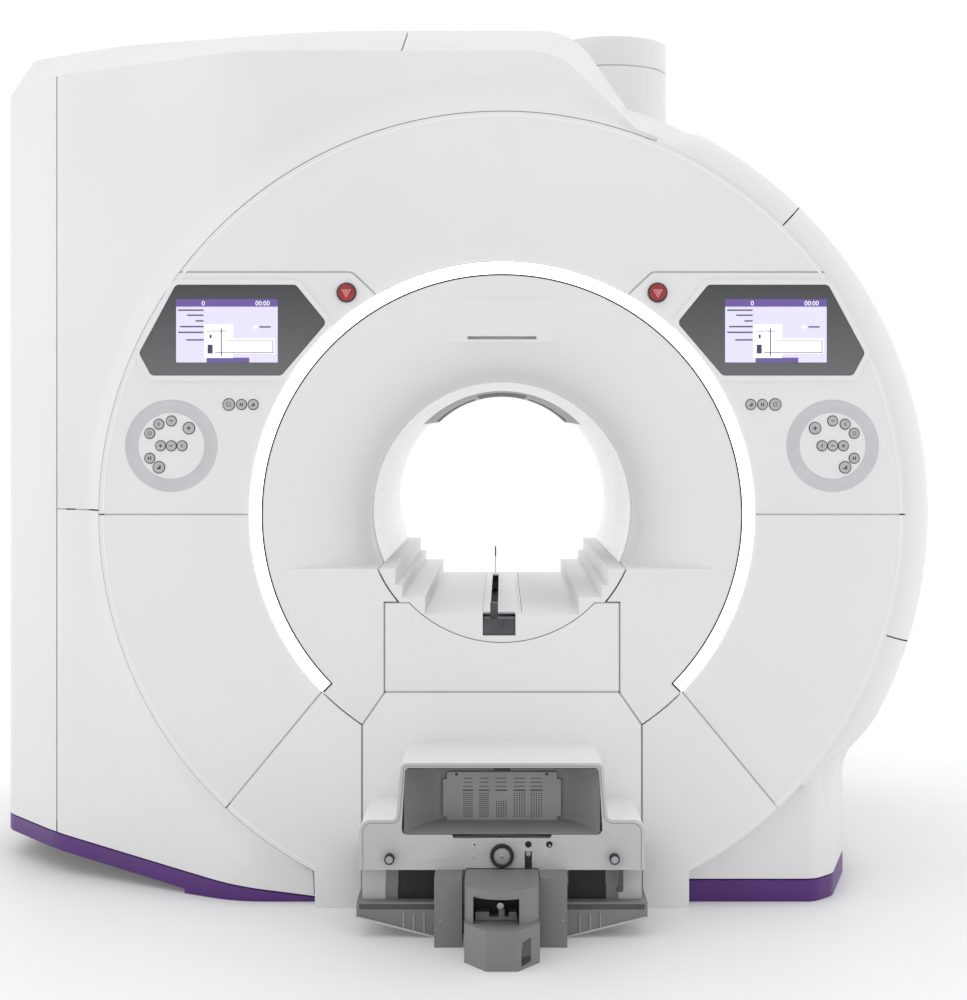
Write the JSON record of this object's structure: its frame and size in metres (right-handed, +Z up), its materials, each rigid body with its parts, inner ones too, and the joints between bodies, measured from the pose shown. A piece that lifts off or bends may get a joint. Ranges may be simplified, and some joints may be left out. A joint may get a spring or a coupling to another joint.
{
  "type": "mri scanner",
  "caption": "Whole-body MRI scanner with a wide round patient bore, lit funnel, touch displays, key dials and a docking station for a mobile table.",
  "frame": {"origin": "on the floor under the isocentre, in the middle of the floor anchor pattern", "axes": "+Z up, +Y into the bore away from the patient, +X to the right of someone facing the scanner"},
  "size_m": [2.61, 2.21, 2.445],
  "materials": {
    "white_cover": "satin white moulded covers",
    "purple_trim": "satin purple moulded trim",
    "display_glass": "dark glass over a lit screen",
    "light_diffuser": "translucent white diffuser, lit",
    "vessel_steel": "painted steel",
    "winding": "copper and superconductor windings on a former",
    "coil_resin": "resin-filled copper coil",
    "bare_steel": "brushed steel",
    "track_plastic": "smooth white plastic",
    "grey_plastic": "fine-textured grey plastic",
    "dock_grey": "satin grey powder coat",
    "dark_metal": "dark satin coat",
    "key_face": "grey rubbery key top",
    "stop_red": "glossy red"
  },
  "bodies": {
    "scanner": {"apron_cover": "white_cover", "base_trims": "purple_trim", "bore_bridge": "white_cover", "bore_liner": "white_cover", "bridge_cover": "white_cover", "cheek_covers": "white_cover", "coil_port_panel": "grey_plastic", "cold_head": "bare_steel", "control_covers": "white_cover", "cover_frame": "vessel_steel", "crown_cover": "white_cover", "cryostat_vessel": "vessel_steel", "displays": "display_glass", "dock_frame": "dock_grey", "dock_housing": "white_cover", "dock_pedestal": "dock_grey", "foot_covers": "white_cover", "funnel_cover": "white_cover", "gradient_coil": "coil_resin", "left_lower_cover": "white_cover", "left_side_cover": "white_cover", "magnet_feet": "vessel_steel", "main_windings": "winding", "rear_cover": "white_cover", "right_body_cover": "white_cover", "right_leg_cover": "white_cover", "ring_light": "light_diffuser", "top_covers": "white_cover", "track_plate": "track_plastic", "turret_cover": "white_cover", "turret_lid": "white_cover", "upper_body_cover": "white_cover"},
    "left_key_1": {"left_key_1": "key_face"},
    "left_key_2": {"left_key_2": "key_face"},
    "left_key_3": {"left_key_3": "key_face"},
    "left_key_4": {"left_key_4": "key_face"},
    "left_key_5": {"left_key_5": "key_face"},
    "left_key_6": {"left_key_6": "key_face"},
    "left_key_7": {"left_key_7": "key_face"},
    "left_key_8": {"left_key_8": "key_face"},
    "left_key_9": {"left_key_9": "key_face"},
    "left_aux_key_1": {"left_aux_key_1": "key_face"},
    "left_aux_key_2": {"left_aux_key_2": "key_face"},
    "left_aux_key_3": {"left_aux_key_3": "key_face"},
    "left_stop_button": {"left_stop_button": "stop_red"},
    "right_key_1": {"right_key_1": "key_face"},
    "right_key_2": {"right_key_2": "key_face"},
    "right_key_3": {"right_key_3": "key_face"},
    "right_key_4": {"right_key_4": "key_face"},
    "right_key_5": {"right_key_5": "key_face"},
    "right_key_6": {"right_key_6": "key_face"},
    "right_key_7": {"right_key_7": "key_face"},
    "right_key_8": {"right_key_8": "key_face"},
    "right_key_9": {"right_key_9": "key_face"},
    "right_aux_key_1": {"right_aux_key_1": "key_face"},
    "right_aux_key_2": {"right_aux_key_2": "key_face"},
    "right_aux_key_3": {"right_aux_key_3": "key_face"},
    "right_stop_button": {"right_stop_button": "stop_red"},
    "cradle_carrier": {"cradle_carrier": "dark_metal"},
    "latch_hook": {"latch_hook": "dark_metal"}
  },
  "joints": [
    {"name": "left_key_1_press", "type": "slide", "parent": "scanner", "child": "left_key_1", "axis": [0, 1, 0], "range_m": [0, 0.0015], "stiffness_N_per_m": 1300, "springref_m": -0.0005},
    {"name": "left_key_2_press", "type": "slide", "parent": "scanner", "child": "left_key_2", "axis": [0, 1, 0], "range_m": [0, 0.0015], "stiffness_N_per_m": 1300, "springref_m": -0.0005},
    {"name": "left_key_3_press", "type": "slide", "parent": "scanner", "child": "left_key_3", "axis": [0, 1, 0], "range_m": [0, 0.0015], "stiffness_N_per_m": 1300, "springref_m": -0.0005},
    {"name": "left_key_4_press", "type": "slide", "parent": "scanner", "child": "left_key_4", "axis": [0, 1, 0], "range_m": [0, 0.0015], "stiffness_N_per_m": 1300, "springref_m": -0.0005},
    {"name": "left_key_5_press", "type": "slide", "parent": "scanner", "child": "left_key_5", "axis": [0, 1, 0], "range_m": [0, 0.0015], "stiffness_N_per_m": 1300, "springref_m": -0.0005},
    {"name": "left_key_6_press", "type": "slide", "parent": "scanner", "child": "left_key_6", "axis": [0, 1, 0], "range_m": [0, 0.0015], "stiffness_N_per_m": 1300, "springref_m": -0.0005},
    {"name": "left_key_7_press", "type": "slide", "parent": "scanner", "child": "left_key_7", "axis": [0, 1, 0], "range_m": [0, 0.0015], "stiffness_N_per_m": 1300, "springref_m": -0.0005},
    {"name": "left_key_8_press", "type": "slide", "parent": "scanner", "child": "left_key_8", "axis": [0, 1, 0], "range_m": [0, 0.0015], "stiffness_N_per_m": 1300, "springref_m": -0.0005},
    {"name": "left_key_9_press", "type": "slide", "parent": "scanner", "child": "left_key_9", "axis": [0, 1, 0], "range_m": [0, 0.0015], "stiffness_N_per_m": 1300, "springref_m": -0.0005},
    {"name": "left_aux_key_1_press", "type": "slide", "parent": "scanner", "child": "left_aux_key_1", "axis": [0, 1, 0], "range_m": [0, 0.0015], "stiffness_N_per_m": 1300, "springref_m": -0.0005},
    {"name": "left_aux_key_2_press", "type": "slide", "parent": "scanner", "child": "left_aux_key_2", "axis": [0, 1, 0], "range_m": [0, 0.0015], "stiffness_N_per_m": 1300, "springref_m": -0.0005},
    {"name": "left_aux_key_3_press", "type": "slide", "parent": "scanner", "child": "left_aux_key_3", "axis": [0, 1, 0], "range_m": [0, 0.0015], "stiffness_N_per_m": 1300, "springref_m": -0.0005},
    {"name": "left_stop_button_press", "type": "slide", "parent": "scanner", "child": "left_stop_button", "axis": [0, 1, 0], "range_m": [0, 0.005], "stiffness_N_per_m": 3000, "springref_m": -0.001},
    {"name": "right_key_1_press", "type": "slide", "parent": "scanner", "child": "right_key_1", "axis": [0, 1, 0], "range_m": [0, 0.0015], "stiffness_N_per_m": 1300, "springref_m": -0.0005},
    {"name": "right_key_2_press", "type": "slide", "parent": "scanner", "child": "right_key_2", "axis": [0, 1, 0], "range_m": [0, 0.0015], "stiffness_N_per_m": 1300, "springref_m": -0.0005},
    {"name": "right_key_3_press", "type": "slide", "parent": "scanner", "child": "right_key_3", "axis": [0, 1, 0], "range_m": [0, 0.0015], "stiffness_N_per_m": 1300, "springref_m": -0.0005},
    {"name": "right_key_4_press", "type": "slide", "parent": "scanner", "child": "right_key_4", "axis": [0, 1, 0], "range_m": [0, 0.0015], "stiffness_N_per_m": 1300, "springref_m": -0.0005},
    {"name": "right_key_5_press", "type": "slide", "parent": "scanner", "child": "right_key_5", "axis": [0, 1, 0], "range_m": [0, 0.0015], "stiffness_N_per_m": 1300, "springref_m": -0.0005},
    {"name": "right_key_6_press", "type": "slide", "parent": "scanner", "child": "right_key_6", "axis": [0, 1, 0], "range_m": [0, 0.0015], "stiffness_N_per_m": 1300, "springref_m": -0.0005},
    {"name": "right_key_7_press", "type": "slide", "parent": "scanner", "child": "right_key_7", "axis": [0, 1, 0], "range_m": [0, 0.0015], "stiffness_N_per_m": 1300, "springref_m": -0.0005},
    {"name": "right_key_8_press", "type": "slide", "parent": "scanner", "child": "right_key_8", "axis": [0, 1, 0], "range_m": [0, 0.0015], "stiffness_N_per_m": 1300, "springref_m": -0.0005},
    {"name": "right_key_9_press", "type": "slide", "parent": "scanner", "child": "right_key_9", "axis": [0, 1, 0], "range_m": [0, 0.0015], "stiffness_N_per_m": 1300, "springref_m": -0.0005},
    {"name": "right_aux_key_1_press", "type": "slide", "parent": "scanner", "child": "right_aux_key_1", "axis": [0, 1, 0], "range_m": [0, 0.0015], "stiffness_N_per_m": 1300, "springref_m": -0.0005},
    {"name": "right_aux_key_2_press", "type": "slide", "parent": "scanner", "child": "right_aux_key_2", "axis": [0, 1, 0], "range_m": [0, 0.0015], "stiffness_N_per_m": 1300, "springref_m": -0.0005},
    {"name": "right_aux_key_3_press", "type": "slide", "parent": "scanner", "child": "right_aux_key_3", "axis": [0, 1, 0], "range_m": [0, 0.0015], "stiffness_N_per_m": 1300, "springref_m": -0.0005},
    {"name": "right_stop_button_press", "type": "slide", "parent": "scanner", "child": "right_stop_button", "axis": [0, 1, 0], "range_m": [0, 0.005], "stiffness_N_per_m": 3000, "springref_m": -0.001},
    {"name": "carrier_travel", "type": "slide", "parent": "scanner", "child": "cradle_carrier", "axis": [0, 1, 0], "range_m": [0, 1.25]},
    {"name": "latch_hook_swing", "type": "hinge", "parent": "scanner", "child": "latch_hook", "pos_m": [0.29, -1.112, 0.172], "axis": [0, -1, 0], "range_deg": [0, 30]}
  ]
}
